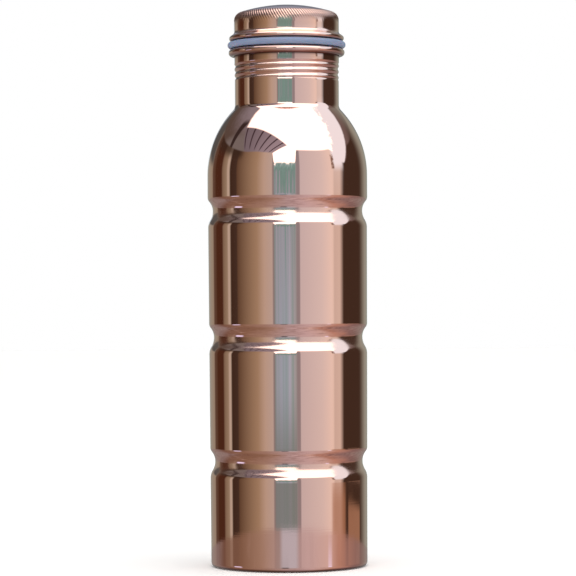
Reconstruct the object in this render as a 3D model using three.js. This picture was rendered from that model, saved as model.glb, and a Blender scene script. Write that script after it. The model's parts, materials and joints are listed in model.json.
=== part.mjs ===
// A copper water bottle with a domed screw cap, in millimetres, +Z up.
//
// The origin is the centre of the foot, on the surface the bottle stands on. Every piece is spun round
// the Z axis, so each one is drawn as half a cross-section, with r across and z up, and turned once
// round. The screw threads are rolled in afterwards, by pushing the wall in and out along a helix.

import * as THREE from 'three';
import { mergeVertices } from 'three/addons/utils/BufferGeometryUtils.js';

// ---------------------------------------------------------------- driving dimensions

const SEGMENTS = 36;            // facets round every spun piece
const SHEET = 0.6;              // thickness of the copper sheet
const CLEARANCE = 0.3;          // gap between two pieces that touch on the real bottle

// Barrel
const FOOT_RADIUS = 36.95;      // the barrel's radius if its taper ran down to the table
const FOOT_CORNER = 2.2;        // rounding of the edge the bottle stands on
const FOOT_LEDGE = 32.4;        // inner radius of the turned-in foot
const TAPER = 0.65 / 160;       // growth of the barrel's radius per millimetre of height
const SHOULDER_RADIUS = 37.8;   // the widest part, above the top groove

// Rolled grooves round the barrel
const GROOVE_ROOTS = [49.7, 108.3, 168.0];   // heights of the deepest lines
const GROOVE_BELOW = 7.9;       // how far a groove reaches below its root
const GROOVE_ABOVE = 6.8;       // how far it reaches above its root
const GROOVE_DEPTH = 2.25;

// Shoulder and neck
const SHOULDER_START = 185.0;   // where the barrel begins to turn in
const SHOULDER_BEND = 44.4;     // radius of the shoulder's curve
const NECK_FILLET = 4.0;        // radius of the hollow between the shoulder and the neck
const NECK_RADIUS = 24.65;
const NECK_TOP_RADIUS = 24.8;   // the neck just under the lip
const LIP_HEIGHT = 242.95;      // height of the middle of the rolled lip
const LIP_CENTRE = 25.75;       // radius to the middle of the rolled lip
const LIP_CURL = 1.15;          // radius inside the curl of the lip

// Screw thread, right-handed
const THREAD_PITCH = 2.75;
const NECK_THREAD = { low: 229.2, high: 238.2, depth: 0.5 };
const PLUG_THREAD = { low: 228.6, high: 240.6, depth: 0.55 };
const THREAD_STEPS = 5;         // rows of facets in one turn of thread
const THREAD_FADE = 1.1;        // height over which a thread runs out to nothing

// Sealing ring
const RING_INNER = 23.65;
const RING_OUTER = 27.98;
const RING_BULGE = 1.6;         // half the height of the ring

// Cap
const BEAD_CENTRE = 25.9;       // radius to the middle of the bead round the cap's mouth
const BEAD_HEIGHT = 249.7;
const BEAD_RADIUS = 1.3;
const COVE_RADIUS = 1.6;        // hollow between the bead and the cap's wall
const CAP_RADIUS = 24.83;
const CAP_EDGE_START = 258.4;   // where the wall turns over into the knurled edge
const CAP_EDGE_BEND = 3.8;      // radius of that edge
const CAP_EDGE_SWEEP = 67;      // degrees the edge turns through before the dome
const CAP_TOP = 265.5;

// Plug inside the cap
const PLUG_ROOT = 23.2;         // radius at the bottom of the plug's thread
const PLUG_WALL = 1.0;
const PLUG_BOTTOM = 227.4;
const PLUG_RIM_RADIUS = 26.1;   // the rim that the cap's bead is curled round
const PLUG_RIM_HEIGHT = 249.4;

// Base disc
const DISC_RIM_HEIGHT = 7.0;    // height of the turned-up rim that is soldered to the wall
const DISC_DISH_RADIUS = 29.5;  // where the raised middle begins
const DISC_DISH = 3.0;          // how far the middle is raised

// ---------------------------------------------------------------- materials

const copper = () => new THREE.MeshStandardMaterial({ color: 0xc9875f, roughness: 0.12, metalness: 1 });
const silicone = () => new THREE.MeshStandardMaterial({ color: 0x9fb2cc, roughness: 0.45, metalness: 0 });

// ---------------------------------------------------------------- cross-sections

const point = (r, z) => new THREE.Vector2(r, z);

// Points on an arc round (r, z), from one angle to another in degrees, both ends included.
function arc(r, z, radius, from, to, steps) {
  const points = [];
  for (let i = 0; i <= steps; i += 1) {
    const angle = THREE.MathUtils.degToRad(THREE.MathUtils.lerp(from, to, i / steps));
    points.push(point(r + radius * Math.cos(angle), z + radius * Math.sin(angle)));
  }
  return points;
}

// The other face of a sheet: the line moved to its left by the sheet's thickness.
function otherFace(line, thickness) {
  return line.map((here, i) => {
    const before = line[Math.max(i - 1, 0)];
    const after = line[Math.min(i + 1, line.length - 1)];
    const into = here.clone().sub(before).normalize();
    const out = after.clone().sub(here).normalize();
    const along = into.add(out).normalize();
    const moved = point(here.x - along.y * thickness, here.y + along.x * thickness);
    if (here.x === 0) moved.set(0, here.y - thickness);
    return moved;
  });
}

// Half the cross-section of a sheet, from one face of it.
function sheetSection(line, thickness = SHEET) {
  const section = [...line, ...otherFace(line, thickness).reverse()];
  if (line[0].x > 0) section.push(section[0].clone());
  return section;
}

// ---------------------------------------------------------------- spinning and thread rolling

// Turns half a cross-section once round Z, as one closed body with its faces pointing out.
function spun(section) {
  const lathe = new THREE.LatheGeometry(section, SEGMENTS);
  lathe.deleteAttribute('normal');
  lathe.deleteAttribute('uv');
  lathe.rotateX(Math.PI / 2);
  const geometry = mergeVertices(lathe, 1e-4);
  const position = geometry.getAttribute('position');
  const corner = [new THREE.Vector3(), new THREE.Vector3(), new THREE.Vector3()];
  const kept = [];
  let volume = 0;
  for (let i = 0; i < geometry.index.count; i += 3) {
    const face = [0, 1, 2].map((k) => geometry.index.getX(i + k));
    if (new Set(face).size < 3) continue;
    face.forEach((vertex, k) => corner[k].fromBufferAttribute(position, vertex));
    volume += corner[0].dot(corner[1].cross(corner[2]));
    kept.push(face);
  }
  if (volume < 0) kept.forEach((face) => face.reverse());
  geometry.setIndex(kept.flat());
  return geometry;
}

// How far up the thread's ridge a point is, from 0 in the groove to 1 on the crest.
function threadPhase(x, y, z) {
  const turns = z / THREAD_PITCH - Math.atan2(y, x) / (2 * Math.PI);
  return (1 - Math.cos(2 * Math.PI * turns)) / 2;
}

// Rolls a right-handed thread: it moves the wall by the given amount for each point between two heights.
function rollThread(geometry, { low, high, depth }, direction, reaches) {
  const position = geometry.getAttribute('position');
  for (let i = 0; i < position.count; i += 1) {
    const x = position.getX(i);
    const y = position.getY(i);
    const z = position.getZ(i);
    const radius = Math.hypot(x, y);
    if (z <= low || z >= high || !reaches(radius)) continue;
    const fade = Math.min(1, (z - low) / THREAD_FADE, (high - z) / THREAD_FADE);
    const phase = direction < 0 ? 1 - threadPhase(x, y, z) : threadPhase(x, y, z);
    const scale = 1 + (direction * depth * fade * phase) / radius;
    position.setXY(i, x * scale, y * scale);
  }
  return geometry;
}

// Plain rows of points up a wall that will carry a thread.
function threadRows(r, { low, high }) {
  const rows = Math.ceil(((high - low) / THREAD_PITCH) * THREAD_STEPS);
  return Array.from({ length: rows + 1 }, (_, i) => point(r(i / rows), THREE.MathUtils.lerp(low, high, i / rows)));
}

// ---------------------------------------------------------------- the bottle's body

// The barrel's outer radius at a height, grooves included.
function barrelRadius(z) {
  let radius = z < GROOVE_ROOTS.at(-1) ? FOOT_RADIUS + TAPER * z : SHOULDER_RADIUS;
  for (const root of GROOVE_ROOTS) {
    const share = z < root ? (root - z) / GROOVE_BELOW : (z - root) / GROOVE_ABOVE;
    if (share < 1) radius -= (GROOVE_DEPTH * (1 + Math.cos(Math.PI * share))) / 2;
  }
  return radius;
}

function bodyOutside() {
  const corner = barrelRadius(FOOT_CORNER) - FOOT_CORNER;
  const line = [point(FOOT_LEDGE, 0), ...arc(corner, FOOT_CORNER, FOOT_CORNER, -90, 0, 3)];
  for (const root of GROOVE_ROOTS) {
    for (let step = -3; step <= 3; step += 1) {
      const z = root + (step / 3) * (step < 0 ? GROOVE_BELOW : GROOVE_ABOVE);
      line.push(point(barrelRadius(z), z));
    }
  }
  // The shoulder's curve and the neck's fillet touch where the line through their centres crosses them.
  const bendCentre = SHOULDER_RADIUS - SHOULDER_BEND;
  const filletCentre = NECK_RADIUS + NECK_FILLET;
  const bendEnd = Math.acos((filletCentre - bendCentre) / (SHOULDER_BEND + NECK_FILLET));
  const filletHeight = SHOULDER_START + (SHOULDER_BEND + NECK_FILLET) * Math.sin(bendEnd);
  const degrees = THREE.MathUtils.radToDeg(bendEnd);
  line.push(...arc(bendCentre, SHOULDER_START, SHOULDER_BEND, 0, degrees, 6));
  line.push(...arc(filletCentre, filletHeight, NECK_FILLET, 180 + degrees, 180, 3).slice(1));
  const taper = (share) => THREE.MathUtils.lerp(NECK_RADIUS, NECK_TOP_RADIUS, share);
  line.push(...threadRows(taper, NECK_THREAD));
  line.push(...arc(LIP_CENTRE, LIP_HEIGHT, LIP_CURL, 180, -120, 8));
  return line;
}

function bodyShell() {
  const geometry = spun(sheetSection(bodyOutside()));
  return rollThread(geometry, NECK_THREAD, -1, () => true);
}

// A shallow cup soldered inside the foot. Its raised middle keeps it off the table.
function baseDisc() {
  const outer = barrelRadius(DISC_RIM_HEIGHT) - SHEET - CLEARANCE;
  const low = SHEET + CLEARANCE;
  const corner = FOOT_CORNER - SHEET - CLEARANCE;
  const underside = [
    point(0, low + DISC_DISH),
    point(DISC_DISH_RADIUS - DISC_DISH, low + DISC_DISH),
    point(DISC_DISH_RADIUS, low),
    ...arc(outer - corner - CLEARANCE, low + corner, corner, -90, 0, 3),
    point(outer, DISC_RIM_HEIGHT),
  ];
  const topside = otherFace(underside, SHEET);
  topside[0].set(0, low + DISC_DISH + SHEET);
  return spun([...underside, ...topside.reverse()]);
}

// ---------------------------------------------------------------- the cap

function capShell() {
  const cove = BEAD_HEIGHT + BEAD_RADIUS + COVE_RADIUS + 0.25;
  const edgeCentre = CAP_RADIUS - CAP_EDGE_BEND;
  const edge = arc(edgeCentre, CAP_EDGE_START, CAP_EDGE_BEND, 0, CAP_EDGE_SWEEP, 4);
  const rim = edge.at(-1);
  const dome = [0.75, 0.5, 0.25, 0].map((share) => point(
    rim.x * share,
    CAP_TOP - (CAP_TOP - rim.y) * share ** 2,
  ));
  return spun(sheetSection([
    ...arc(BEAD_CENTRE, BEAD_HEIGHT, BEAD_RADIUS, -120, 60, 6),
    ...arc(CAP_RADIUS + COVE_RADIUS, cove, COVE_RADIUS, 235, 180, 2),
    ...edge,
    ...dome,
  ]));
}

// The cup that screws into the neck. Its rim is gripped by the curled bead of the cap's shell.
function capPlug() {
  const bore = PLUG_ROOT - PLUG_WALL;
  const rimTop = PLUG_RIM_HEIGHT + SHEET;
  const geometry = spun([
    point(0, PLUG_BOTTOM),
    point(PLUG_ROOT - 0.6, PLUG_BOTTOM),
    ...threadRows(() => PLUG_ROOT, PLUG_THREAD),
    point(PLUG_ROOT, PLUG_RIM_HEIGHT),
    point(PLUG_RIM_RADIUS, PLUG_RIM_HEIGHT),
    point(PLUG_RIM_RADIUS, rimTop),
    point(bore, rimTop),
    point(bore, PLUG_BOTTOM + PLUG_WALL),
    point(0, PLUG_BOTTOM + PLUG_WALL),
  ]);
  return rollThread(geometry, PLUG_THREAD, 1, (radius) => radius > bore + PLUG_WALL / 2);
}

function sealingRing() {
  const middle = (LIP_HEIGHT + LIP_CURL + SHEET + BEAD_HEIGHT - BEAD_RADIUS) / 2;
  const bulge = arc(RING_OUTER - RING_BULGE, middle, RING_BULGE, -90, 90, 6);
  const inner = [point(RING_INNER, middle + RING_BULGE), point(RING_INNER, middle - RING_BULGE)];
  return spun([...bulge, ...inner, bulge[0].clone()]);
}

// ---------------------------------------------------------------- assembly

function piece(name, geometry, material) {
  geometry.computeVertexNormals();
  const mesh = new THREE.Mesh(geometry, material);
  mesh.name = name;
  return mesh;
}

const body = new THREE.Group();
body.add(piece('body_shell', bodyShell(), copper()));
body.add(piece('base_disc', baseDisc(), copper()));

const cap = new THREE.Group();
cap.add(piece('cap_shell', capShell(), copper()));
cap.add(piece('cap_plug', capPlug(), copper()));

const bottle = new THREE.Group();
bottle.add(body, cap, piece('sealing_ring', sealingRing(), silicone()));

export default bottle;
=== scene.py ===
# %% [markdown]
# # A copper water bottle
#
# The bottle is spun copper: a tall body with three rolled grooves, a round shoulder, a neck with a screw
# thread rolled into it, and a rolled lip. A domed cap with a knurled edge screws inside the neck, and a
# silicone ring seals it. Polished copper is almost a mirror, so half of this lesson is about the shape of
# the metal, and the other half is about the room that the metal shows.

# %% Load the frame
import json
import math

import bmesh
import bpy
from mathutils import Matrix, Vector

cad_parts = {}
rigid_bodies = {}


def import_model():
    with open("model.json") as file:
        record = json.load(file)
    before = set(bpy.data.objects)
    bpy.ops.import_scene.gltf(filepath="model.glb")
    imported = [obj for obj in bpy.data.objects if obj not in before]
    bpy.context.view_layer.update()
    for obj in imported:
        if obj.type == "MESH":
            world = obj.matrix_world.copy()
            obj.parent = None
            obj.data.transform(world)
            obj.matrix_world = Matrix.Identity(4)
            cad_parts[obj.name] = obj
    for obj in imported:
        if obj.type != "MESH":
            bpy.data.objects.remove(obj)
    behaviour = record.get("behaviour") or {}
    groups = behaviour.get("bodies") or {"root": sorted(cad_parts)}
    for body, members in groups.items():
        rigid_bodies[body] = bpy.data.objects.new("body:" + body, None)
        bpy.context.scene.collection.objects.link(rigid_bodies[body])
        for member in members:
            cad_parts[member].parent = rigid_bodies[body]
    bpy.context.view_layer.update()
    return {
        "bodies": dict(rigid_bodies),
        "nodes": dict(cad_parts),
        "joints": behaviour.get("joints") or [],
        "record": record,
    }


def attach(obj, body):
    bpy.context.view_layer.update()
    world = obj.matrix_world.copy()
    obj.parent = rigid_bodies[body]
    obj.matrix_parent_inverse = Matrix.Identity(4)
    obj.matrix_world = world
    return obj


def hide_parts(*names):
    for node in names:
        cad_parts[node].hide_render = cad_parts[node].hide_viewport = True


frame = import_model()
MM = 0.001

# %% [markdown]
# ## The camera
#
# A bottle is a row of ellipses, and their roundness gives the camera away: they are flat at the height of
# the eye, open upwards above it and downwards below it. Here the lip and the foot are about equally open,
# so the camera looks level at the middle of the bottle, from a little over a metre away with a long lens.
# The bottle leans by a third of a degree, and that is done by rolling the camera, so the part stays true.

# %% Camera
EYE_DISTANCE = 1.3
EYE_HEIGHT = 0.125
LENS = 171.4
SENSOR_WIDTH = 36
TILT_UP = math.radians(0.286)
ROLL = math.radians(0.33)


def place_camera():
    """Puts the camera in front of the bottle, level with its middle."""
    data = bpy.data.cameras.new("camera")
    data.lens = LENS
    data.sensor_width = SENSOR_WIDTH
    data.dof.use_dof = False
    camera = bpy.data.objects.new("camera", data)
    bpy.context.scene.collection.objects.link(camera)
    camera.rotation_mode = "ZXY"
    camera.rotation_euler = (math.radians(90) + TILT_UP, ROLL, 0)
    camera.location = (0, -EYE_DISTANCE, EYE_HEIGHT)
    bpy.context.scene.camera = camera
    return camera


camera = place_camera()
print(camera.name, "is", EYE_DISTANCE, "m away and", EYE_HEIGHT, "m up")

# %% [markdown]
# ## Outlines
#
# Everything on this bottle is turned on a lathe, so a piece starts as one line: its skin, seen from the
# side, with the distance from the axis across and the height up. Straight stretches need two points.
# Round ones are arcs, so that the radius of a bend can be read in the code and changed in one place.
# The sizes here are millimetres, because that is how a spinner's drawing gives them.

# %% Outline helpers
def arc(across, up, radius, start, end, steps):
    """Points on an arc round (across, up), from one angle to another in degrees, both ends included."""
    angles = [math.radians(start + (end - start) * i / steps) for i in range(steps + 1)]
    return [(across + radius * math.cos(a), up + radius * math.sin(a)) for a in angles]


def between(low, high, steps):
    """Evenly spaced numbers from low to high, both included."""
    return [low + (high - low) * i / steps for i in range(steps + 1)]


print("a quarter bend in 8 steps has", len(arc(0, 0, 1, 0, 90, 8)), "points")

# %% [markdown]
# A spin makes its steps one by one, and each step looks at all that came before, so a fine piece in one
# spin is slow. It is quicker to spin one slice, repeat the slice round the axis, and merge the seams.
# Afterwards the faces are turned outwards. On an open skin "outwards" is only a guess, so it is checked:
# the faces of a spun piece have to look away from the axis on the whole.

# %% Spinning helpers
SLICES = 12
SEAM_GAP = 0.001


def spin_line(outline, facets):
    """Turns a line of (distance from the axis, height) points once round Z, and returns the skin."""
    skin = bmesh.new()
    verts = [skin.verts.new((across * MM, 0, up * MM)) for across, up in outline]
    edges = [skin.edges.new(pair) for pair in zip(verts, verts[1:])]
    slice_angle = math.tau / SLICES
    around = {"cent": (0, 0, 0), "axis": (0, 0, 1)}
    bmesh.ops.spin(skin, geom=verts + edges, angle=slice_angle, steps=facets // SLICES, **around)
    whole = skin.verts[:] + skin.edges[:] + skin.faces[:]
    rest = {"angle": math.tau - slice_angle, "steps": SLICES - 1, "use_duplicate": True}
    bmesh.ops.spin(skin, geom=whole, **rest, **around)
    bmesh.ops.remove_doubles(skin, verts=skin.verts, dist=SEAM_GAP * MM)
    bmesh.ops.recalc_face_normals(skin, faces=skin.faces)
    if sum(outwardness(face) for face in skin.faces) < 0:
        bmesh.ops.reverse_faces(skin, faces=skin.faces)
    return skin


def outwardness(face):
    """How much of a face looks away from the axis, positive if it faces out."""
    centre = face.calc_center_median()
    return (face.normal.x * centre.x + face.normal.y * centre.y) * face.calc_area()


def thicken(skin, sheet):
    """Gives a skin the thickness of the sheet, in millimetres, on its inner side."""
    bmesh.ops.solidify(skin, geom=skin.faces[:], thickness=sheet * MM)


def finish_piece(name, skin, material, body, node):
    """Turns a bmesh into a smooth object that stands for a CAD node and moves with its body."""
    mesh = bpy.data.meshes.new(name)
    skin.to_mesh(mesh)
    skin.free()
    mesh.shade_smooth()
    mesh.materials.append(material)
    piece = bpy.data.objects.new(name, mesh)
    bpy.context.scene.collection.objects.link(piece)
    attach(piece, body)
    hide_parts(node)
    print(name, len(mesh.polygons), "faces")


print("a piece is spun in", SLICES, "slices")

# %% [markdown]
# ## Shader maths
#
# Materials and the room are written as sums on sockets. The class below wraps one socket, so that
# `1 - smudges * 0.3` adds the Math nodes for it. Every other kind of node comes from its `add` method.

# %% Sockets with arithmetic
class Wire:
    """One socket of a node tree, which Python's arithmetic works on."""

    def __init__(self, tree, socket=None):
        self.tree = tree
        self.socket = socket

    def add(self, kind, settings=None, sockets=None, output=0):
        """Adds a node: its settings are set first, then its sockets are filled or linked."""
        node = self.tree.nodes.new(kind)
        for name, value in (settings or {}).items():
            if name == "stops":
                fill_ramp(node.color_ramp, value)
            else:
                setattr(node, name, value)
        for name, value in (sockets or {}).items():
            if isinstance(value, Wire):
                self.tree.links.new(value.socket, node.inputs[name])
            else:
                node.inputs[name].default_value = value
        return Wire(self.tree, node.outputs[output])

    def maths(self, operation, *values):
        """A Math node on this socket and the values given."""
        sockets = dict(enumerate((self, *values)))
        return self.add("ShaderNodeMath", {"operation": operation}, sockets)

    def __add__(self, other):
        return self.maths("ADD", other)

    def __radd__(self, other):
        return self.maths("ADD", other)

    def __sub__(self, other):
        return self.maths("SUBTRACT", other)

    def __rsub__(self, other):
        return self.add("ShaderNodeMath", {"operation": "SUBTRACT"}, {0: other, 1: self})

    def __mul__(self, other):
        return self.maths("MULTIPLY", other)

    def __rmul__(self, other):
        return self.maths("MULTIPLY", other)

    def __truediv__(self, other):
        return self.maths("DIVIDE", other)

    def __rtruediv__(self, other):
        return self.add("ShaderNodeMath", {"operation": "DIVIDE"}, {0: other, 1: self})

    def ramp(self, low, high, start=0.0, end=1.0):
        """Goes smoothly from start to end as this value goes from low to high."""
        sockets = {"Value": self, "From Min": low, "From Max": high, "To Min": start, "To Max": end}
        return self.add("ShaderNodeMapRange", {"interpolation_type": "SMOOTHSTEP"}, sockets)

    def mix(self, first, second):
        """The first colour where this value is 0, and the second where it is 1."""
        return self.add("ShaderNodeMix", {"data_type": "RGBA"}, {0: self, 6: first, 7: second}, 2)

    def stretched(self, *scale):
        """This vector multiplied by a scale along each axis."""
        sockets = {0: self, 1: scale}
        return self.add("ShaderNodeVectorMath", {"operation": "MULTIPLY"}, sockets)

    def noise(self, scale, detail=2.0, roughness=0.5):
        """Soft noise at this position."""
        sockets = {"Vector": self, "Scale": scale, "Detail": detail, "Roughness": roughness}
        return self.add("ShaderNodeTexNoise", {}, sockets)

    def stops(self, colours):
        """The colour of a ramp with (position, colour) stops, at this value."""
        return self.add("ShaderNodeValToRGB", {"stops": colours}, {0: self})

    def vector(self, x, y, z):
        """A vector of three values."""
        return self.add("ShaderNodeCombineXYZ", {}, {0: x, 1: y, 2: z})

    def split(self):
        """The three parts of this vector."""
        first = self.add("ShaderNodeSeparateXYZ", {}, {0: self})
        outputs = first.socket.node.outputs
        return [Wire(self.tree, outputs[i]) for i in range(3)]


def fill_ramp(ramp, stops):
    """Lays (position, colour) stops on a colour ramp."""
    elements = ramp.elements
    while len(elements) < len(stops):
        elements.new(1.0)
    for element, (position, colour) in zip(elements, stops):
        element.position = position
        element.color = (*colour, 1.0)


# %% [markdown]
# A material is one shader. What is the same all over a piece is set on the shader's own sockets, and what
# varies is linked to a sum. Positions are taken on the piece itself, so a mark turns with its piece.

# %% Materials
def new_material(name):
    """A material with one shader, and the position on its piece."""
    material = bpy.data.materials.new(name)
    material.use_nodes = True
    return material, Wire(material.node_tree).add("ShaderNodeTexCoord", output=3)


def height_on(position):
    """The height of a position on its piece, in millimetres."""
    return position.split()[2] / MM


def shade(material, plain, varying):
    """Sets the shader's plain sockets, and links wires to the ones that vary."""
    shader = material.node_tree.nodes["Principled BSDF"]
    for name, value in plain.items():
        shader.inputs[name].default_value = value
    for name, wire in varying.items():
        material.node_tree.links.new(wire.socket, shader.inputs[name])
    return material


def inside(value, low, high, edge):
    """1 where the value lies between low and high, with soft edges."""
    return value.ramp(low - edge, low + edge) * value.ramp(high + edge, high - edge)


# %% [markdown]
# ## The room that the copper shows
#
# A mirror has no look of its own. What reads as polished copper is a row of tall stripes: dark door
# frames, plain walls, a doorway and an open roof, each tinted by the metal. A studio could be built from
# glowing cards, but cards would stand in the way of the other views. So the room is painted on the sky
# instead, as a function of direction, and only reflections see it. The camera sees plain white, and matt
# surfaces are lit by an even, soft white dome, as in a light tent.
#
# The walls are a row of panels round the horizon, in degrees from the camera and positive to the right.
# Each panel has a colour at either end, and the gaps between panels become their soft edges.

# %% The walls, as panels round the horizon
WALL_PANELS = [
    (-180, -139, (0.34, 0.38, 0.35), (0.32, 0.31, 0.25)),
    (-135, -128, (0.12, 0.08, 0.06), (0.10, 0.06, 0.04)),
    (-125, -110, (0.07, 0.03, 0.016), (0.07, 0.028, 0.016)),
    (-107, -98, (0.22, 0.18, 0.13), (0.31, 0.29, 0.22)),
    (-96, -92, (0.50, 0.49, 0.44), (0.50, 0.50, 0.44)),
    (-91, -79, (0.05, 0.03, 0.02), (0.06, 0.04, 0.03)),
    (-77, -45, (0.12, 0.08, 0.05), (0.36, 0.30, 0.21)),
    (-34, -22.5, (0.50, 0.46, 0.40), (0.50, 0.50, 0.49)),
    (-20.7, -19, (0.24, 0.25, 0.28), (0.24, 0.26, 0.29)),
    (-17.5, -3, (0.33, 0.46, 0.60), (0.37, 0.54, 0.78)),
    (4, 11, (0.42, 0.55, 0.74), (0.38, 0.46, 0.53)),
    (13, 17, (0.28, 0.30, 0.35), (0.30, 0.31, 0.36)),
    (18, 50, (0.60, 0.62, 0.69), (0.71, 0.72, 0.76)),
    (66, 69, (0.84, 0.81, 0.79), (0.80, 0.77, 0.74)),
    (71, 81, (0.64, 0.60, 0.57), (0.68, 0.64, 0.60)),
    (88, 120, (0.055, 0.035, 0.025), (0.055, 0.035, 0.025)),
]
BEHIND_RIGHT = (0.31, 0.35, 0.31, 1)
FLOOR_COLOURS = [
    (-180, (0.30, 0.29, 0.28)),
    (-130, (0.28, 0.25, 0.26)),
    (-112, (0.21, 0.14, 0.11)),
    (-75, (0.26, 0.18, 0.13)),
    (-39, (0.36, 0.28, 0.24)),
    (0, (0.46, 0.42, 0.47)),
    (30, (0.57, 0.51, 0.57)),
    (60, (0.62, 0.52, 0.52)),
    (78, (0.50, 0.32, 0.27)),
    (92, (0.42, 0.29, 0.27)),
    (115, (0.28, 0.21, 0.22)),
    (150, (0.28, 0.26, 0.26)),
]


def round_the_horizon(panels):
    """Ramp stops for panels given in degrees from the camera."""
    stops = []
    for start, end, first, last in panels:
        stops.append((start / 360 + 0.5, first))
        stops.append((end / 360 + 0.5, last))
    return stops


print(len(WALL_PANELS), "wall panels")

# %% [markdown]
# Overhead, the roof is a flat plane, so it is drawn in the plane's own coordinates. That is what makes a
# reflection believable: the boards of the slatted ceiling fan out on the shoulder, and the straight edge
# of the roof becomes a curve, without either being drawn as one. Boards run at 56 degrees to the left, so
# one axis of the drawing runs along them and the other across them.

# %% The roof
OPEN_SKY = (2.0, 2.0, 2.0, 1)
PALE_BEAM = (0.93, 1.13, 1.32, 1)
SLAT_NEAR = (0.34, 0.34, 0.43, 1)
SLAT_FAR = (0.18, 0.18, 0.23, 1)
SLAT_GAP = (0.06, 0.045, 0.06, 1)
DARK_BEAM = (0.04, 0.03, 0.03, 1)
GREY_BEAM = (0.18, 0.19, 0.20, 1)
MAUVE_ROOF = (0.25, 0.26, 0.32, 1)
BROWN_ROOF = (0.10, 0.085, 0.075, 1)
RIGHT_ROOF = (0.17, 0.14, 0.14, 1)
DARK_ROOF = (0.08, 0.06, 0.05, 1)
BACK_ROOF = (0.23, 0.25, 0.23, 1)
BOARD_AZIMUTH = math.radians(-56)
SLAT_PITCH = 0.293
FIRST_GAP = -0.495
CORNER_BEAM = (-0.42, -0.12)


def along(across, towards, azimuth):
    """How far a point of the roof lies in a direction given in radians from the camera."""
    return across * math.sin(azimuth) + towards * math.cos(azimuth)


def paint_slats(outwards, sideways):
    """The slatted ceiling's boards, and the dark gaps between them, which fade far out."""
    count = (sideways - FIRST_GAP) / SLAT_PITCH + 0.5
    gap = (count.maths("FRACT") - 0.5).maths("ABSOLUTE").ramp(0.13, 0.06)
    fade = outwards.ramp(2.15, 1.6)
    boards = sideways.ramp(-0.5, 1.1).mix(SLAT_FAR, SLAT_NEAR)
    return (gap * fade).mix(boards, SLAT_GAP)


def paint_left_roof(outwards, sideways, past_corner):
    """Open sky, with the slatted ceiling on the left and the dark beam that carries its corner."""
    frame = inside(past_corner, *CORNER_BEAM, 0.04).mix(GREY_BEAM, DARK_BEAM)
    ceiling = sideways.ramp(-0.60, -0.52).mix(frame, paint_slats(outwards, sideways))
    under_ceiling = outwards.ramp(0.78, 0.84) * sideways.ramp(1.22, 1.16)
    return under_ceiling.mix(OPEN_SKY, ceiling)


def paint_roof(x, y, z, degrees, height):
    """The colour of the roof, from a direction's parts, bearing and height."""
    up = z.maths("MAXIMUM", 0.02)
    across = x / up
    towards = y * -1 / up
    outwards = along(across, towards, BOARD_AZIMUTH)
    sideways = along(across, towards, BOARD_AZIMUTH + math.pi / 2)
    past_corner = (outwards - 0.8) * 0.9 + sideways + 0.55
    speckle = x.vector(across, towards, 0).noise(6, 4, 0.7) - 0.5
    colour = paint_left_roof(outwards, sideways, past_corner)
    left_back = (towards + across * 0.52 + speckle * 0.1).ramp(-0.46, -0.56)
    mauve = (height + speckle * 12).ramp(28, 54).mix(BROWN_ROOF, MAUVE_ROOF)
    mauve = (inside(past_corner, *CORNER_BEAM, 0.06) * outwards.ramp(0.5, 0.7)).mix(mauve, DARK_BEAM)
    colour = (left_back * outwards.ramp(1.3, 0.8)).mix(colour, mauve)
    pale = (towards - across * 0.51 + speckle * 0.8).ramp(-0.42, -0.56)
    colour = (pale * across.ramp(0.3, 0.6)).mix(colour, PALE_BEAM)
    past_beam = towards - across * 0.15 + speckle * 0.1
    behind = past_beam.ramp(-1.1, -1.9).mix(RIGHT_ROOF, DARK_ROOF)
    behind = degrees.ramp(125, 155).mix(behind, BACK_ROOF)
    return (past_beam.ramp(-0.88, -1.04) * degrees.ramp(0, 20)).mix(colour, behind)


print("boards run", round(math.degrees(BOARD_AZIMUTH)), "degrees from the camera")

# %% [markdown]
# The walls end where they meet the roof. Seen from the bottle, the top of a straight wall is a curve: it
# is highest where the wall is nearest. The doorway has no top, because the garden's trees fade into the
# sky. Below the horizon lies the floor. It is a little glossy, so near the horizon it repeats the walls.

# %% The walls, the garden and the floor
GARDEN = [
    (0.00, (0.40, 0.50, 0.66)),
    (0.24, (0.32, 0.42, 0.54)),
    (0.36, (0.17, 0.36, 0.36)),
    (0.55, (0.22, 0.45, 0.47)),
    (0.72, (0.36, 0.60, 0.68)),
    (0.80, (1.9, 2.0, 2.0)),
]
DEEP_GREEN = (0.20, 0.42, 0.40, 1)
BACK_WINDOW = (0.9, 1.15, 1.3, 1)
STOOL_WOOD = (0.33, 0.21, 0.14, 1)
SKIRTING_WOOD = (0.42, 0.25, 0.16, 1)
SILL_STONE = (0.19, 0.27, 0.29, 1)
RUNG_WOOD = (0.45, 0.33, 0.26, 1)
HINGE_IRON = (0.22, 0.15, 0.11, 1)
DARK_CORNER = (0.09, 0.10, 0.10, 1)
LINTEL_WOOD = (0.045, 0.03, 0.022, 1)
DARK_STREAK = (0.14, 0.07, 0.06, 1)
LIGHT_STREAK = (0.70, 0.62, 0.62, 1)
SKY_SHEEN = (0.56, 0.70, 0.90, 1)
WARM_PATCH = (0.72, 0.40, 0.28, 1)
COLD_GLINT = (1.0, 1.1, 1.7, 1)
SHADOW = (0.06, 0.07, 0.09, 1)
BACK_WALL = [
    (0.00, (0.32, 0.36, 0.33)),
    (0.07, (0.30, 0.34, 0.31)),
    (0.13, (0.09, 0.10, 0.12)),
    (0.24, (0.14, 0.16, 0.20)),
    (0.42, (0.28, 0.33, 0.42)),
    (0.65, (0.45, 0.52, 0.66)),
]


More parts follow.
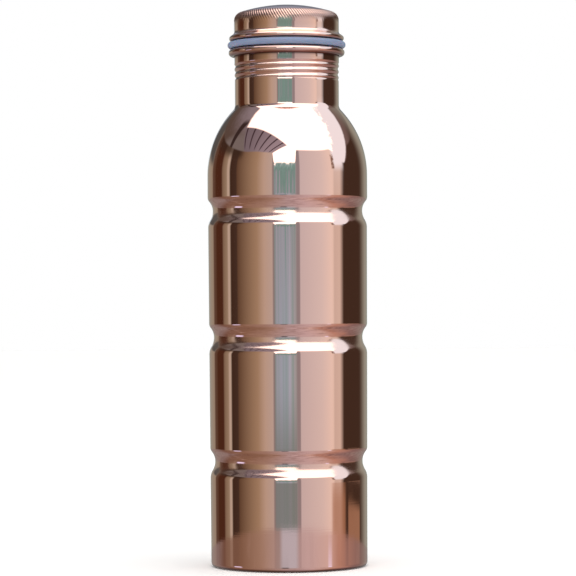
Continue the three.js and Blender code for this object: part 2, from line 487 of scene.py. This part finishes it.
def paint_walls(turn, degrees, height, leaves, stems):
    """The wall panels, with the garden in the doorway and a window behind the bottle."""
    walls = turn.stops(round_the_horizon(WALL_PANELS))
    garden = ((height + leaves * 30 + stems * 2 + 4) / 25).stops(GARDEN)
    doorway = inside(degrees, -19, 11.5, 1.0)
    walls = (doorway * stems * 0.6).mix(walls, DEEP_GREEN)
    walls = (doorway * height.ramp(-2, 3)).mix(walls, garden)
    walls = degrees.ramp(124, 153).mix(walls, BEHIND_RIGHT)
    stool = inside(degrees, 97, 127, 2) * inside(height, -9, -4.5, 0.12)
    walls = stool.mix(walls, STOOL_WOOD)
    skirting = inside(degrees, 66, 91, 3) * height.ramp(-3.7, -4.6) * 0.75
    walls = skirting.mix(walls, SKIRTING_WOOD)
    sill = inside(degrees, -19, 12, 1) * height.ramp(-2.0, -4.2) * 0.8
    walls = sill.mix(walls, SILL_STONE)
    beam_foot = inside(degrees, 70, 88, 3) * height.ramp(1, 12)
    walls = beam_foot.mix(walls, PALE_BEAM)
    rungs = (height * 11).maths("SINE").ramp(0.0, 0.8) * inside(height, -4.2, -3.6, 0.1) * 0.5
    walls = (rungs * inside(degrees, 96, 128, 3)).mix(walls, RUNG_WOOD)
    hinges = inside(degrees, 67, 72, 0.7) * inside(height, 6, 20, 1) * leaves.ramp(-0.1, 0.02)
    walls = hinges.mix(walls, HINGE_IRON)
    dark_corner = degrees.ramp(-132, -142) * height.ramp(5, 9)
    walls = dark_corner.mix(walls, DARK_CORNER)
    lintel = inside(degrees, -132, -72, 6) * height.ramp(13, 21) * 0.85
    walls = lintel.mix(walls, LINTEL_WOOD)
    window = inside(degrees, -175, -166, 2) * inside(height, 4, 19, 2)
    return window.mix(walls, BACK_WINDOW)


def paint_floor(turn, degrees, height, walls, streaks):
    """The floor, which repeats the walls near the horizon, and a few bright and dark things on it."""
    floor = turn.stops([(start / 360 + 0.5, colour) for start, colour in FLOOR_COLOURS])
    deep = height.ramp(-5.3, -12, 0.15, 1)
    dark = streaks.ramp(0.50, 0.66) * deep * 0.6
    floor = dark.mix(floor, DARK_STREAK)
    light = streaks.ramp(0.42, 0.30) * deep * 0.5
    floor = light.mix(floor, LIGHT_STREAK)
    floor = (height.ramp(-30, -4) * 0.25).mix(floor, walls)
    sheen = inside(degrees, -12, 12, 4) * height.ramp(-16, -5) * 0.7
    floor = sheen.mix(floor, SKY_SHEEN)
    warm = streaks.ramp(0.48, 0.62) * inside(degrees, 70, 102, 12) * inside(height, -26, -13, 5)
    floor = (warm * 0.7).mix(floor, WARM_PATCH)
    glint = inside(degrees, -89, -75, 2.5) * inside(height, -15, -8, 2)
    glint = glint + inside(degrees, 59, 65, 1.5) * inside(height, -9, -6, 1)
    floor = glint.mix(floor, COLD_GLINT)
    shadow = inside(degrees, -11, -1, 2) * inside(height, -13, -7, 1.5)
    return shadow.mix(floor, SHADOW)


def wall_top(degrees):
    """How high the walls reach at a bearing, both in degrees."""
    left = degrees.ramp(-70, -45, 23.7, 25.5)
    right = degrees.ramp(12, 62, 28.6, 26) - degrees.ramp(66, 90) * 15
    top = left - degrees.ramp(-23, -19) * 12 + (right - 13.5) * degrees.ramp(11, 14)
    return top + degrees.ramp(92, 110) * 12


print(len(GARDEN) + len(BACK_WALL), "colours in the garden and on the back wall")

# %% [markdown]
# The parts of the room are joined by height: floor, walls, roof. Then the three kinds of ray are told
# apart. The camera gets white, mirrors get the room, and matt surfaces get the plain dome.

# %% The whole room
WHITE = (1, 1, 1, 1)
DOME = (1.1, 1.1, 1.1, 1)
FLOOR_EDGE = (-5.17, -5.24)


def build_room():
    """Paints the room on the world: white for the camera, a dome for matt surfaces, the room for mirrors."""
    world = bpy.data.worlds.new("room")
    bpy.context.scene.world = world
    world.use_nodes = True
    tree = world.node_tree
    tree.nodes.clear()
    start = Wire(tree)
    direction = start.add("ShaderNodeTexCoord", output=0)
    x, y, z = direction.split()
    turn = x.maths("ARCTAN2", y * -1) / math.tau + 0.5
    degrees = (turn - 0.5) * 360
    height = z.maths("ARCSINE") * math.degrees(1)
    leaves = direction.stretched(3, 3, 0.8).noise(9, 5, 0.7) - 0.5
    stems = direction.stretched(9, 9, 0.25).noise(1.3, 4, 0.7).ramp(0.40, 0.64)
    walls = paint_walls(turn, degrees, height, leaves, stems)
    roof = paint_roof(x, y, z, degrees, height)

    above_walls = (height - wall_top(degrees)).ramp(-1.0, 1.0)
    room = above_walls.mix(walls, roof)
    at_the_back = degrees.maths("ABSOLUTE").ramp(160, 174) * height.ramp(4, 7)
    room = at_the_back.mix(room, (height / 60).stops(BACK_WALL))
    streaks = direction.stretched(0.6, 0.6, 6).noise(5, 4, 0.7)
    floor = paint_floor(turn, degrees, height, walls, streaks)
    room = (height + leaves * 0.06).ramp(*FLOOR_EDGE).mix(room, floor)

    path = start.add("ShaderNodeLightPath")
    for_camera = Wire(tree, path.socket.node.outputs["Is Camera Ray"])
    for_mirrors = Wire(tree, path.socket.node.outputs["Is Glossy Ray"])
    seen = for_mirrors.mix(DOME, room)
    colour = for_camera.mix(seen, WHITE)
    light = start.add("ShaderNodeBackground", {}, {"Color": colour, "Strength": 1.0})
    output = tree.nodes.new("ShaderNodeOutputWorld")
    tree.links.new(light.socket, output.inputs["Surface"])
    return world


room = build_room()
print("room nodes", len(room.node_tree.nodes))

# %% [markdown]
# ## The floor and the light
#
# The bottle stands on a pale floor, which is there for its soft shadow. Mirrors don't see it, because the
# painted room has a floor of its own. Copper is lit by what it shows, so one weak light is enough. It hangs
# high in front, where it deepens the shadow at the foot.

# %% The floor
FLOOR_RADIUS = 6.0
FLOOR_PALE = (0.93, 0.925, 0.915, 1)
FLOOR_GREY = (0.80, 0.79, 0.77, 1)


def lay_floor():
    """A round, plain, pale floor that mirrors don't see."""
    ground = bmesh.new()
    bmesh.ops.create_circle(ground, cap_ends=True, segments=96, radius=FLOOR_RADIUS)
    mesh = bpy.data.meshes.new("floor")
    ground.to_mesh(mesh)
    ground.free()
    material, position = new_material("pale_floor")
    speckle = position.noise(180, 4) * 0.02
    tone = speckle.mix(FLOOR_PALE, FLOOR_GREY)
    shade(material, {"Roughness": 0.85, "Specular IOR Level": 0.2}, {"Base Color": tone})
    mesh.materials.append(material)
    floor = bpy.data.objects.new("floor", mesh)
    bpy.context.scene.collection.objects.link(floor)
    floor.visible_glossy = False
    return floor


floor = lay_floor()
print(floor.name, "is", FLOOR_RADIUS * 2, "m across")

# %% Key light
def add_softbox(name, place, aim, size, watts):
    """A square soft light that mirrors don't see."""
    data = bpy.data.lights.new(name, "AREA")
    data.energy = watts
    data.size = size
    light = bpy.data.objects.new(name, data)
    bpy.context.scene.collection.objects.link(light)
    light.location = place
    towards = [a - p for a, p in zip(aim, place)]
    light.rotation_euler = Vector(towards).to_track_quat("-Z", "Y").to_euler()
    light.visible_glossy = False
    return light


key = add_softbox("key", place=(0.25, -0.4, 1.5), aim=(0, 0, 0.1), size=1.6, watts=6)
print("key light", key.data.energy, "W")

# %% [markdown]
# ## Polished copper
#
# Copper is a metal that tints what it reflects: it keeps nearly all the red light, two thirds of the
# green and half of the blue. The finish is a mop polish over a spun surface, so it carries three faint
# things: fine turning marks that run round the piece, a slow waviness that bends reflections, and
# smudges where it was handled, which make the mirror a little duller.

# %% Copper
COPPER = (0.955, 0.638, 0.538, 1)
WARM_COPPER = (0.90, 0.56, 0.44, 1)
# Painted shade colour: for the contact shadow at the foot, shade under the lip and in the knurl's valleys.
PAINTED_SHADE = (0.14, 0.07, 0.065, 1)


def make_copper(name, tint, polish, turning, ripple, dull, painted_shade):
    """Polished copper. Turning and ripple are depths in millimetres. Tint and dull are functions that say
    how warm and matt the metal is at a position, from 0 to 1; the last function says where shade is painted
    dark."""
    material, position = new_material(name)
    smudges = position.stretched(1, 1, 0.6).noise(26, 4, 0.6).ramp(0.50, 0.75)
    wear = position.stretched(1, 1, 0.4).noise(9, 3, 0.55).ramp(0.35, 0.75)
    rings = position.stretched(0.02, 0.02, 1).noise(1500, 3, 0.7)
    waves = position.stretched(1, 1, 0.35).noise(38, 2, 0.5)
    dark = painted_shade(position)
    # Painted shade: the colour is mixed towards the dark shade colour where the last function says.
    colour = dark.mix((wear * 0.5 + tint(position)).mix(COPPER, WARM_COPPER), PAINTED_SHADE)
    roughness = polish + smudges * 0.035 + rings * 0.01 + dull(position) * 0.25
    relief = rings * turning + waves * ripple
    bump = position.add("ShaderNodeBump", {}, {"Height": relief, "Distance": MM, "Strength": 1.0})
    return shade(material, {"Metallic": 1.0}, {"Base Color": colour, "Roughness": roughness, "Normal": bump})


# The second colour printed is the painted shade colour.
print("clean copper", COPPER[:3], "and tarnish", PAINTED_SHADE[:3])

# %% [markdown]
# ## Silicone
#
# The ring is cloudy blue-grey silicone. A little light goes into it and comes out again nearby, which
# subsurface scattering gives, and its surface is satin, not wet.

# %% Silicone
DEEP_BLUE = (0.17, 0.21, 0.33, 1)
CLOUDY_BLUE = (0.24, 0.29, 0.42, 1)
SCATTER = {"Subsurface Weight": 0.4, "Subsurface Scale": 0.002}


def make_silicone():
    """Translucent blue-grey silicone, slightly cloudy."""
    material, position = new_material("ring_silicone")
    cloud = position.noise(140, 3, 0.6)
    colour = cloud.mix(DEEP_BLUE, CLOUDY_BLUE)
    roughness = 0.32 + cloud * 0.12
    bump = position.add("ShaderNodeBump", {}, {"Height": cloud, "Distance": 0.05 * MM, "Strength": 0.6})
    return shade(material, SCATTER, {"Base Color": colour, "Roughness": roughness, "Normal": bump})


silicone = make_silicone()
print(silicone.name, len(silicone.node_tree.nodes), "nodes")

# %% [markdown]
# ## The body
#
# The real body is one sheet of copper, spun over a former, with three grooves rolled in for stiffness.
# It could be modelled as a cylinder with loop cuts, but a lathe outline keeps every bend exact. A groove
# is two rolls: a hollow one that the roller's nose leaves, and a round one where the metal turns back to
# the wall. The upper side is crisp and the lower side is long and soft, as if the roller was pushed up.

# %% Body sizes
SHEET = 0.6
FOOT_RADIUS = 36.95
FOOT_CORNER = 2.2
FOOT_LEDGE = 32.4
TAPER = 0.65 / 160
SHOULDER_RADIUS = 37.8
GROOVE_ROOTS = (49.7, 108.3, 168.0)
GROOVE_BELOW = 7.9
GROOVE_ABOVE = 6.5
GROOVE_DEPTH = 2.25
HOLLOW_BELOW = 0.55
HOLLOW_ABOVE = 0.70
SHOULDER_START = 185.0
SHOULDER_BEND = 44.4
NECK_FILLET = 4.0
NECK_RADIUS = 24.65
NECK_TOP_RADIUS = 24.8
LIP_HEIGHT = 242.95
LIP_CENTRE = 25.75
LIP_CURL = 1.15
THREAD_PITCH = 2.75
NECK_THREAD = (229.2, 238.2)
NECK_THREAD_DEPTH = -0.5
FACETS = 168


# %% The body's outline
def wall_radius(height):
    """The barrel's outer radius at a height, without the grooves."""
    return FOOT_RADIUS + TAPER * height if height < GROOVE_ROOTS[-1] else SHOULDER_RADIUS


def groove_side(root, side, reach, hollow, steps):
    """Points of one side of a groove, from its root to the wall; side is 1 above and -1 below."""
    wall = wall_radius(root + side * reach)
    depth = wall - wall_radius(root - 1) + GROOVE_DEPTH
    lean = 2 * math.atan2(depth, reach)
    total = reach / math.sin(lean)
    nose = total * hollow
    turn_back = total - nose
    bottom = wall - depth
    lower_roll = arc(bottom + nose, 0, nose, 180, 180 - math.degrees(lean), steps)[1:]
    upper_roll = arc(wall - turn_back, reach, turn_back, -math.degrees(lean), 0, steps)
    return [(across, root + side * up) for across, up in lower_roll + upper_roll[1:]]


def groove(root):
    """A whole groove, from its lower end to its upper end."""
    below = groove_side(root, -1, GROOVE_BELOW, HOLLOW_BELOW, 10)
    above = groove_side(root, 1, GROOVE_ABOVE, HOLLOW_ABOVE, 10)
    bottom = (wall_radius(root - 1) - GROOVE_DEPTH, root)
    before = [root - GROOVE_BELOW - 3, root - GROOVE_BELOW - 0.8]
    after = [root + GROOVE_ABOVE + 0.8, root + GROOVE_ABOVE + 3]
    roll = below[::-1] + [bottom] + above
    return [(wall_radius(h), h) for h in before] + roll + [(wall_radius(h), h) for h in after]


def shoulder():
    """The shoulder's curve and the hollow that leads it into the neck."""
    bend_centre = SHOULDER_RADIUS - SHOULDER_BEND
    fillet_centre = NECK_RADIUS + NECK_FILLET
    end = math.acos((fillet_centre - bend_centre) / (SHOULDER_BEND + NECK_FILLET))
    fillet_height = SHOULDER_START + (SHOULDER_BEND + NECK_FILLET) * math.sin(end)
    line = arc(bend_centre, SHOULDER_START, SHOULDER_BEND, 0, math.degrees(end), 28)
    return line + arc(fillet_centre, fillet_height, NECK_FILLET, 180 + math.degrees(end), 180, 12)[1:]


def body_outline():
    """The skin of the body, from the turned-in foot up to the end of the rolled lip."""
    line = [(FOOT_LEDGE, 0), (FOOT_LEDGE + 0.8, 0)]
    line += arc(wall_radius(FOOT_CORNER) - FOOT_CORNER, FOOT_CORNER, FOOT_CORNER, -90, 0, 8)
    line += [(wall_radius(h), h) for h in (FOOT_CORNER + 0.4, FOOT_CORNER + 1.5)]
    for root in GROOVE_ROOTS:
        line += groove(root)
    line += shoulder()
    low, high = NECK_THREAD
    line += [(NECK_RADIUS, h) for h in (low - 8, low - 7, low - 1.2, low - 0.5)]
    for step in between(0, 1, 44):
        line.append((NECK_RADIUS + (NECK_TOP_RADIUS - NECK_RADIUS) * step, low + (high - low) * step))
    line += [(NECK_TOP_RADIUS, h) for h in (high + 0.4, high + 1.0, LIP_HEIGHT - 1.2)]
    line += arc(LIP_CENTRE, LIP_HEIGHT, LIP_CURL, 180, -120, 16)
    return line


print("body outline points", len(body_outline()))

# %% [markdown]
# ## The thread
#
# The neck's thread isn't cut: a roller presses a helical groove into the thin wall, so the same wave
# shows outside as a groove and inside as a ridge. A Screw modifier would leave the thread as a separate
# coil. Moving the wall's own vertices keeps the neck one sheet. A point is on the thread by how its
# height and its angle add up: one turn round must equal one pitch up. The mark fades in and out at both
# ends, as a roller lifts away.

# %% Rolling a thread
THREAD_FADE = 1.3


def thread_wave(vert):
    """Height of the thread's wave at a vertex, from 0 to 1. It is right-handed."""
    turns = vert.co.z / MM / THREAD_PITCH - math.atan2(vert.co.y, vert.co.x) / math.tau
    return (1 - math.cos(math.tau * turns)) / 2


def roll_thread(skin, low, high, depth):
    """Moves the wall in or out by a helical wave between two heights."""
    for vert in skin.verts:
        height = vert.co.z / MM
        radius = math.hypot(vert.co.x, vert.co.y) / MM
        if not low < height < high:
            continue
        ends = min(1, (height - low) / THREAD_FADE, (high - height) / THREAD_FADE)
        scale = 1 + depth * ends * thread_wave(vert) / radius
        vert.co.x *= scale
        vert.co.y *= scale


print("turns on the neck:", round((NECK_THREAD[1] - NECK_THREAD[0]) / THREAD_PITCH, 1))

# %% [markdown]
# A roller doesn't leave a polish as good as the mop's, so the grooves are a little duller than the wall.
# Shade is painted into the colour: a dark line where the bottle stands on the table, and under the lip.

# %% The body's copper
def neck_shade_tint(position):
    """Painted shade: the neck is painted a little warmer and darker above its thread, under the lip."""
    return inside(height_on(position), 238, 242, 1.5) * 0.4


def rolled_tracks(position):
    """Where the grooves' lower sides are, from 0 to 1."""
    height = height_on(position)
    tracks = [inside(height, root - 5.5, root + 0.5, 1.2) for root in GROOVE_ROOTS]
    thread = inside(height, 229.5, 238, 1)
    return (tracks[0] + tracks[1] + tracks[2]) * 0.55 + thread * 0.4


def body_painted_shade(position):
    """Painted shade: a dark line at the foot for the contact shadow, and shade under the lip and on the neck
    below it.
    """
    height = height_on(position)
    foot_line = height.ramp(1.7, 0.7)
    under_lip = inside(height, 240.6, 241.9, 0.8) * 0.8
    neck = inside(height, 238.5, 241, 1) * 0.2
    return foot_line * 0.9 + under_lip + neck


body_copper = make_copper(
    "body_copper",
    tint=neck_shade_tint,
    polish=0.012,
    turning=0.0006,
    ripple=0.014,
    dull=rolled_tracks,
    painted_shade=body_painted_shade,
)
print(body_copper.name, len(body_copper.node_tree.nodes), "nodes")

# %% Body
body_skin = spin_line(body_outline(), FACETS)
roll_thread(body_skin, *NECK_THREAD, NECK_THREAD_DEPTH)
thicken(body_skin, SHEET)
finish_piece("bottle_body", body_skin, body_copper, "bottle", "body_shell")

# %% [markdown]
# ## The foot disc
#
# How the real foot is closed is a guess: it is hidden when the bottle stands. Spun bottles often have a
# shallow dished disc soldered inside the wall. Its middle is raised, so the bottle stands on its rim and
# doesn't rock.

# %% Foot disc
DISC_LOW = 0.9
DISC_DISH = 3.0
DISC_RIM = 7.0
DISC_FLAT = 26.0
DISC_SLOPE = 3.0
DISC_CORNER = 1.3
DISC_FACETS = 120


def disc_outline():
    """The underside of the disc, from its centre out and up the turned rim."""
    outer = wall_radius(DISC_RIM) - SHEET - 0.3
    line = [(0, DISC_LOW + DISC_DISH + 0.4), (12, DISC_LOW + DISC_DISH + 0.25)]
    line += [(DISC_FLAT, DISC_LOW + DISC_DISH)]
    for step in between(0.1, 1, 9):
        drop = DISC_DISH * (1 + math.cos(math.pi * step)) / 2
        line.append((DISC_FLAT + 0.5 + DISC_SLOPE * step, DISC_LOW + drop))
    line += arc(outer - DISC_CORNER, DISC_LOW + DISC_CORNER, DISC_CORNER, -90, 0, 6)
    line += [(outer, DISC_RIM)]
    return line


disc_skin = spin_line(disc_outline(), DISC_FACETS)
thicken(disc_skin, SHEET)
finish_piece("foot_disc", disc_skin, body_copper, "bottle", "base_disc")

# %% [markdown]
# ## The cap
#
# The cap's shell is spun too: a low dome, a knurled edge, a plain wall, a hollow cove and a round bead
# that is curled under. The knurl is pressed by a wheel with slanted teeth. It is real relief here,
# because on a mirror even a shallow ridge throws its own highlight. The real edge has finer strokes, some
# 130 to 140 of them. Here there are 120, with a depth chosen so that they can be told apart from
# where the camera stands.

# %% Cap sizes
BEAD_CENTRE = 25.9
BEAD_HEIGHT = 249.7
BEAD_RADIUS = 1.3
COVE_RADIUS = 1.6
CAP_RADIUS = 24.83
CAP_EDGE_START = 258.4
CAP_EDGE_BEND = 3.8
CAP_EDGE_SWEEP = 67
CAP_TOP = 265.5
KNURL_STROKES = 120
KNURL_LEAN = 0.025
KNURL_DEPTH = 0.22
KNURL_LOW = 256.4
KNURL_HIGH = 262.0
KNURL_FADE_LOW = 3.0
KNURL_FADE_HIGH = 0.4
FACETS_PER_STROKE = 7


def cap_outline():
    """The skin of the cap, from the end of the curl under the bead to the top of the dome."""
    cove_height = BEAD_HEIGHT + BEAD_RADIUS + COVE_RADIUS + 0.25
    edge = arc(CAP_RADIUS - CAP_EDGE_BEND, CAP_EDGE_START, CAP_EDGE_BEND, 0, CAP_EDGE_SWEEP, 13)
    rim_across, rim_up = edge[-1]
    line = arc(BEAD_CENTRE, BEAD_HEIGHT, BEAD_RADIUS, -120, 60, 14)
    line += arc(CAP_RADIUS + COVE_RADIUS, cove_height, COVE_RADIUS, 235, 180, 6)
    line += [(CAP_RADIUS, h) for h in between(cove_height + 0.5, CAP_EDGE_START - 0.6, 6)]
    line += edge
    for part in (0.96, 0.9, 0.8, 0.65, 0.5, 0.35, 0.2, 0.1, 0):
        line.append((rim_across * part, CAP_TOP - (CAP_TOP - rim_up) * part**2))
    return line


def press_knurl(skin):
    """Presses slanted strokes into the cap's edge and wall, fading out at both ends."""
    for vert in skin.verts:
        height = vert.co.z / MM
        if not KNURL_LOW < height < KNURL_HIGH:
            continue
        radius = math.hypot(vert.co.x, vert.co.y)
        angle = math.atan2(vert.co.y, vert.co.x) + KNURL_LEAN * height
        wave = (1 - math.cos(angle * KNURL_STROKES)) / 2
        fade = min(1, (height - KNURL_LOW) / KNURL_FADE_LOW, (KNURL_HIGH - height) / KNURL_FADE_HIGH)
        scale = 1 - KNURL_DEPTH * MM * fade * wave / radius
        vert.co.x *= scale
        vert.co.y *= scale


print("a stroke of the knurl is", round(math.tau * CAP_RADIUS / KNURL_STROKES, 2), "mm wide")

# %% [markdown]
# The valleys between the strokes are painted dark, as shade on the strokes' sides. The material finds
# them with the same wave as the relief, so the two stay in step when the number of strokes is changed.

# %% The cap's copper
def knurl_band(height):
    """Where the knurl is, from 0 to 1."""
    start = height.ramp(KNURL_LOW, KNURL_LOW + KNURL_FADE_LOW)
    return start * height.ramp(KNURL_HIGH + 0.2, KNURL_HIGH - 0.3)


def cap_painted_shade(position):
    """Painted shade: dark valleys in the knurl, and a dark crease under the bead."""
    x, y, z = position.split()
    height = z / MM
    angle = y.maths("ARCTAN2", x) + height * KNURL_LEAN
    wave = 0.5 - (angle * KNURL_STROKES).maths("COSINE") * 0.5
    crease = height.ramp(249.2, 248.6)
    return wave.ramp(0.3, 0.75) * knurl_band(height) + crease * 0.8


def warm_wall(position):
    """The cap's wall is a little warmer, where it is gripped."""
    return inside(height_on(position), 254, 258, 1.5) * 0.6


def satin_band(position):
    """The knurl and the cove above the bead are duller than the rest of the cap."""
    height = height_on(position)
    return knurl_band(height) + inside(height, 250.8, 253.2, 0.6) * 0.4


cap_copper = make_copper(
    "cap_copper",
    tint=warm_wall,
    polish=0.05,
    turning=0.001,
    ripple=0.008,
    dull=satin_band,
    painted_shade=cap_painted_shade,
)
print(cap_copper.name, len(cap_copper.node_tree.nodes), "nodes")

# %% Cap
cap_skin = spin_line(cap_outline(), KNURL_STROKES * FACETS_PER_STROKE)
press_knurl(cap_skin)
thicken(cap_skin, SHEET)
finish_piece("cap_dome", cap_skin, cap_copper, "cap", "cap_shell")

# %% [markdown]
# ## The plug
#
# The plug carries the cap's thread. It is hidden while the bottle is closed, so its shape is a guess that
# fits the neck, and it comes into view as the cap unscrews. Its crests ride in the neck's grooves, half a
# pitch from the neck's own ridges.

# %% Plug
PLUG_ROOT = 23.2
PLUG_BOTTOM = 227.4
PLUG_RIM_RADIUS = 26.1
PLUG_RIM_HEIGHT = 249.4
PLUG_THREAD = (228.6, 240.6)
PLUG_THREAD_DEPTH = 0.55
PLUG_WALL = 1.0


def plug_outline():
    """The plug's whole cross-section, closed, from the middle of its underside round to its inside."""
    low, high = PLUG_THREAD
    line = [(0, PLUG_BOTTOM), (12, PLUG_BOTTOM)]
    line += arc(PLUG_ROOT - 0.8, PLUG_BOTTOM + 0.8, 0.8, -90, 0, 5)
    line += [(PLUG_ROOT, h) for h in between(low, high, 66)]
    line += arc(PLUG_ROOT + 0.6, PLUG_RIM_HEIGHT - 0.6, 0.6, 180, 90, 4)
    line += [(PLUG_RIM_RADIUS - 0.05, PLUG_RIM_HEIGHT), (PLUG_RIM_RADIUS, PLUG_RIM_HEIGHT + 0.1)]
    line += [(PLUG_RIM_RADIUS, PLUG_RIM_HEIGHT + SHEET)]
    line += [(PLUG_ROOT - PLUG_WALL, PLUG_RIM_HEIGHT + SHEET)]
    line += [(PLUG_ROOT - PLUG_WALL, PLUG_BOTTOM + PLUG_WALL), (0, PLUG_BOTTOM + PLUG_WALL)]
    return line


plug_skin = spin_line(plug_outline(), FACETS)
roll_thread(plug_skin, *PLUG_THREAD, PLUG_THREAD_DEPTH)
finish_piece("screw_plug", plug_skin, cap_copper, "cap", "cap_plug")

# %% [markdown]
# ## The sealing ring
#
# Squeezed between the bead and the lip, the ring bulges out all round, a little proud of both.

# %% Sealing ring
RING_INNER = 23.65
RING_OUTER = 27.98
RING_BULGE = 1.6


def ring_outline():
    """The ring's closed cross-section."""
    middle = (LIP_HEIGHT + LIP_CURL + SHEET + BEAD_HEIGHT - BEAD_RADIUS) / 2
    line = arc(RING_OUTER - RING_BULGE, middle, RING_BULGE, -90, 90, 16)
    line += [(RING_INNER, middle + RING_BULGE), (RING_INNER, middle - RING_BULGE), line[0]]
    return line


ring_skin = spin_line(ring_outline(), FACETS)
finish_piece("seal", ring_skin, silicone, "ring", "sealing_ring")

# %% [markdown]
# ## Finish
#
# The view is set to Standard, so that a colour comes out as it was mixed.

# %% Finish
view = bpy.context.scene.view_settings
view.view_transform = "Standard"
view.look = "None"
